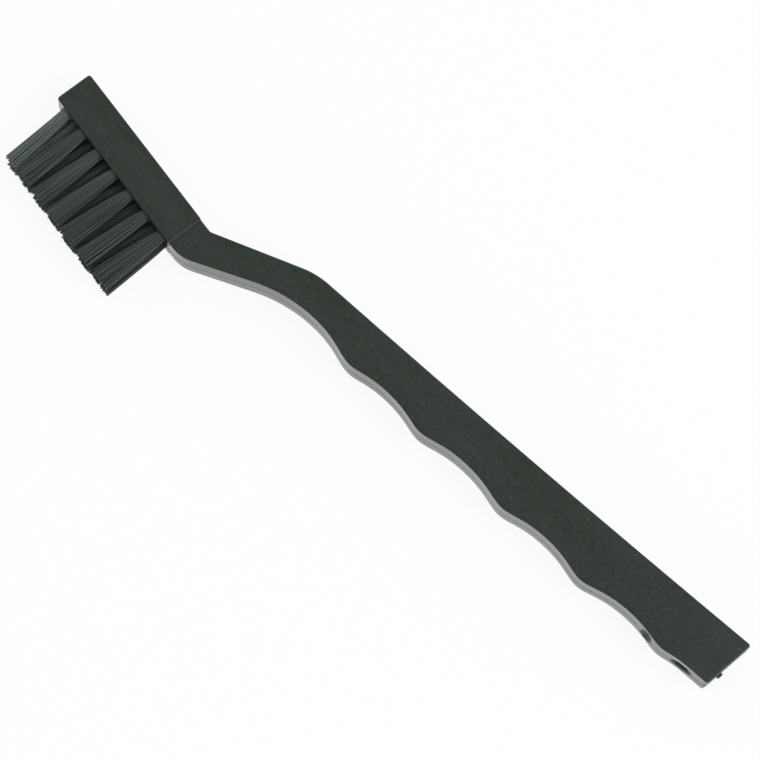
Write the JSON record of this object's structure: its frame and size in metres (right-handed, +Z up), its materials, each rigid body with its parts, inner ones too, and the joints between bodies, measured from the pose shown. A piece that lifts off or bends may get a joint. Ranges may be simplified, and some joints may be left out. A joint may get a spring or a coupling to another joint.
{
  "type": "anti-static brush",
  "caption": "Toothbrush-pattern anti-static hand brush: leaning head with rows of staple-set tufts, cranked neck, finger-grooved grip and a hanging hole through the end.",
  "frame": {"origin": "middle of the brush's footprint as it lies on its flat side, on the surface that it lies on", "axes": "+Z up through the brush's width, +X along the back from the head to the handle's end, +Y towards the back, so that the bristles point to -Y"},
  "size_m": [0.1781, 0.0308, 0.0109],
  "materials": {
    "handle": "satin black conductive plastic with a fine moulded grain",
    "bristle": "dark grey conductive filament",
    "anchor": "bare drawn wire, flattened"
  },
  "bodies": {
    "root": {"handle": "handle", "tuft_lower_1": "bristle", "tuft_lower_2": "bristle", "tuft_lower_3": "bristle", "tuft_lower_4": "bristle", "tuft_lower_5": "bristle", "tuft_lower_6": "bristle", "tuft_lower_7": "bristle", "tuft_middle_1": "bristle", "tuft_middle_2": "bristle", "tuft_middle_3": "bristle", "tuft_middle_4": "bristle", "tuft_middle_5": "bristle", "tuft_middle_6": "bristle", "tuft_upper_1": "bristle", "tuft_upper_2": "bristle", "tuft_upper_3": "bristle", "tuft_upper_4": "bristle", "tuft_upper_5": "bristle", "tuft_upper_6": "bristle", "tuft_upper_7": "bristle", "anchor_lower_1": "anchor", "anchor_lower_2": "anchor", "anchor_lower_3": "anchor", "anchor_lower_4": "anchor", "anchor_lower_5": "anchor", "anchor_lower_6": "anchor", "anchor_lower_7": "anchor", "anchor_middle_1": "anchor", "anchor_middle_2": "anchor", "anchor_middle_3": "anchor", "anchor_middle_4": "anchor", "anchor_middle_5": "anchor", "anchor_middle_6": "anchor", "anchor_upper_1": "anchor", "anchor_upper_2": "anchor", "anchor_upper_3": "anchor", "anchor_upper_4": "anchor", "anchor_upper_5": "anchor", "anchor_upper_6": "anchor", "anchor_upper_7": "anchor"}
  },
  "joints": []
}
